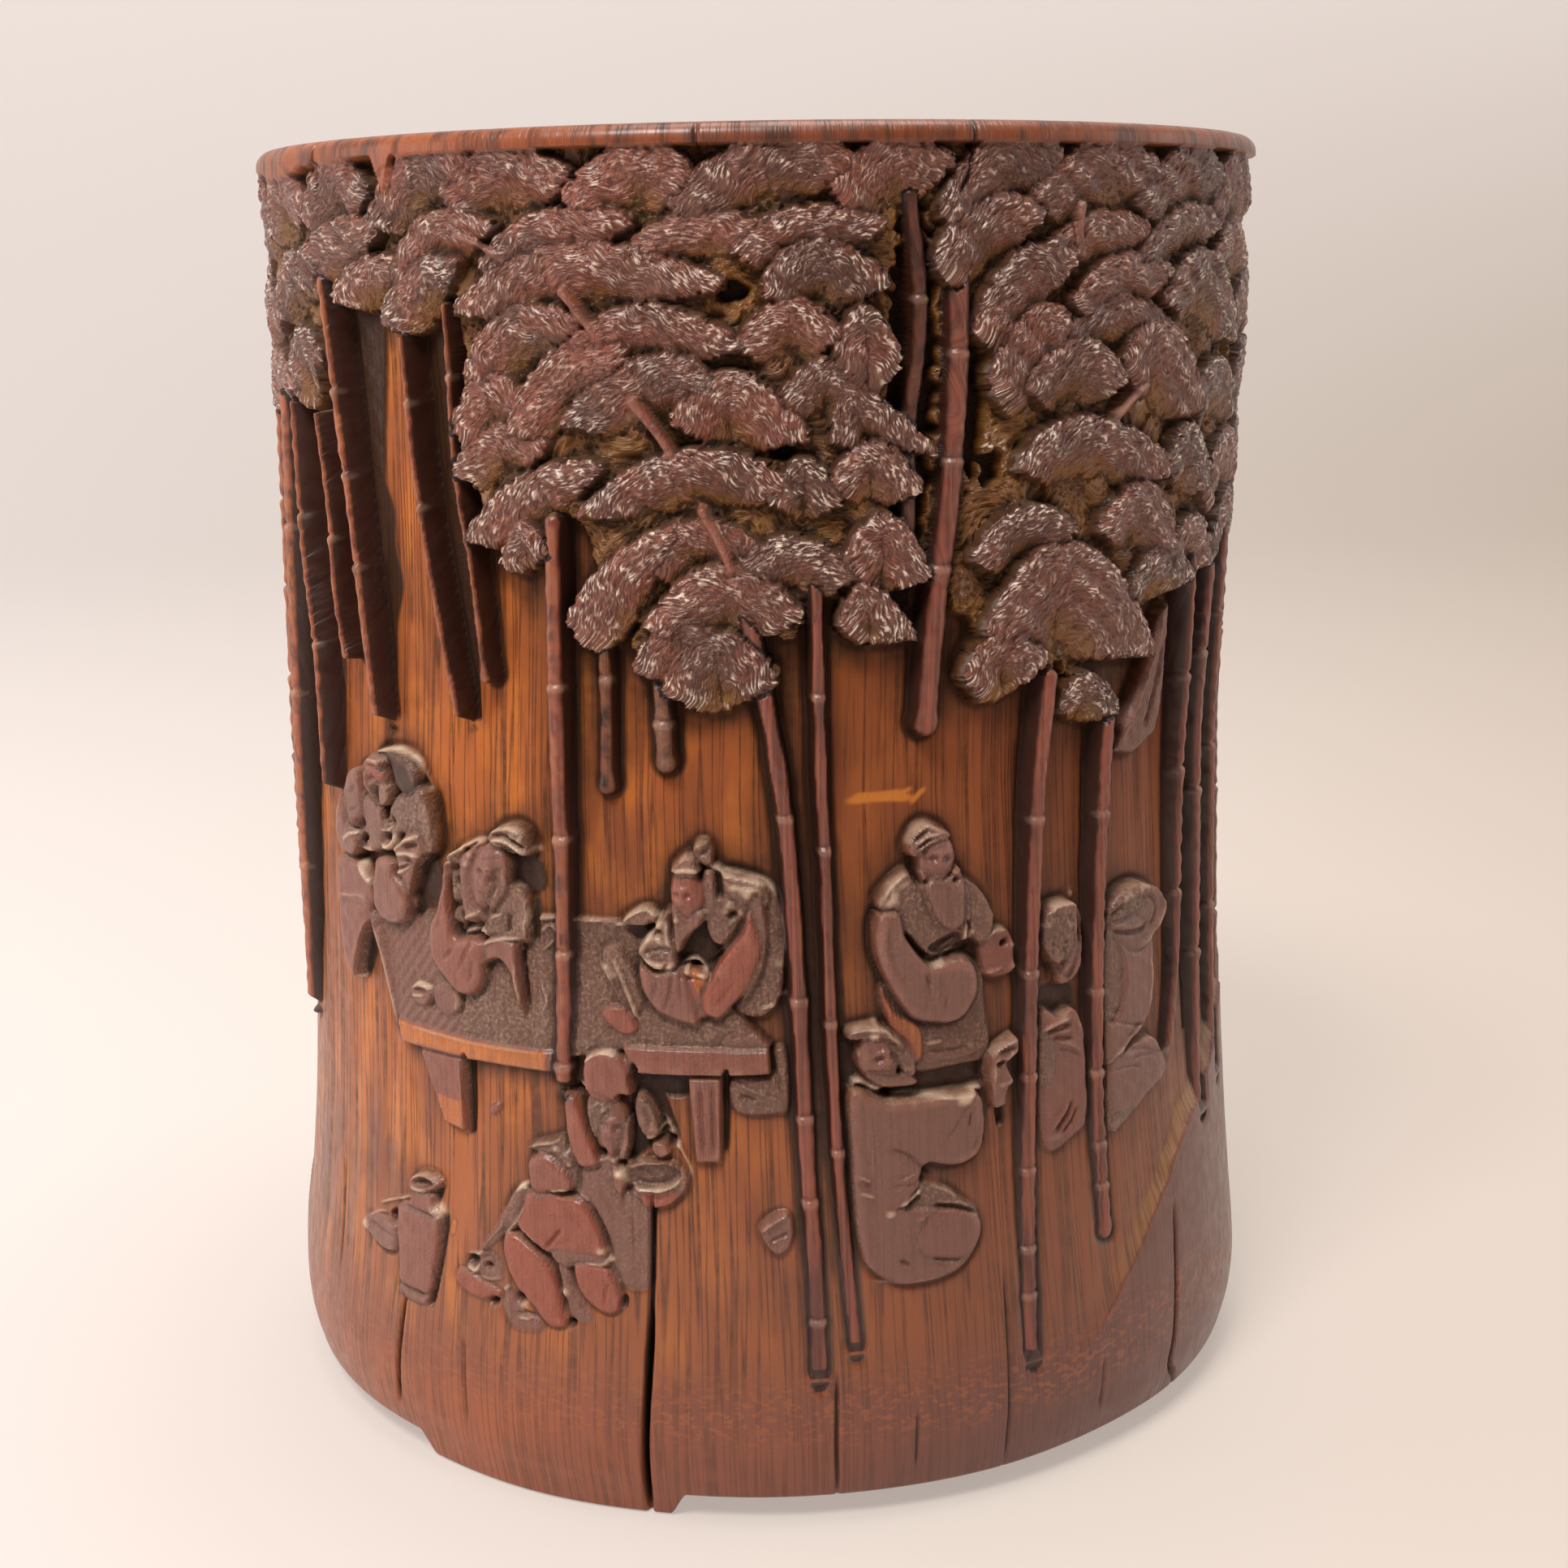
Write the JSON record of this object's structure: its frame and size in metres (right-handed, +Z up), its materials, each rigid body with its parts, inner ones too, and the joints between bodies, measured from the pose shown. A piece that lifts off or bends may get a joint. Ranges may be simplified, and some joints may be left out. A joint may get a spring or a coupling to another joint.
{
  "type": "carved bamboo brush pot",
  "caption": "Round open-topped brush pot cut from a length of bamboo culm, its wall carved in relief with a grove, standing on low feet and closed by an inset floor.",
  "frame": {"origin": "middle of the pot's bounding box at the level its feet stand on", "axes": "+Z up the pot to its mouth; -Y is the front, the side with the table and the seated figures"},
  "size_m": [0.1364, 0.1364, 0.165],
  "materials": {
    "carved_bamboo": "aged bamboo, red-brown, rubbed to a soft polish",
    "floor_bamboo": "plain sawn and scraped, dull",
    "lacquer_putty": "dark lacquer putty, half gloss"
  },
  "bodies": {
    "root": {"culm_wall": "carved_bamboo", "floor_disc": "floor_bamboo", "floor_bead": "lacquer_putty"}
  },
  "joints": []
}
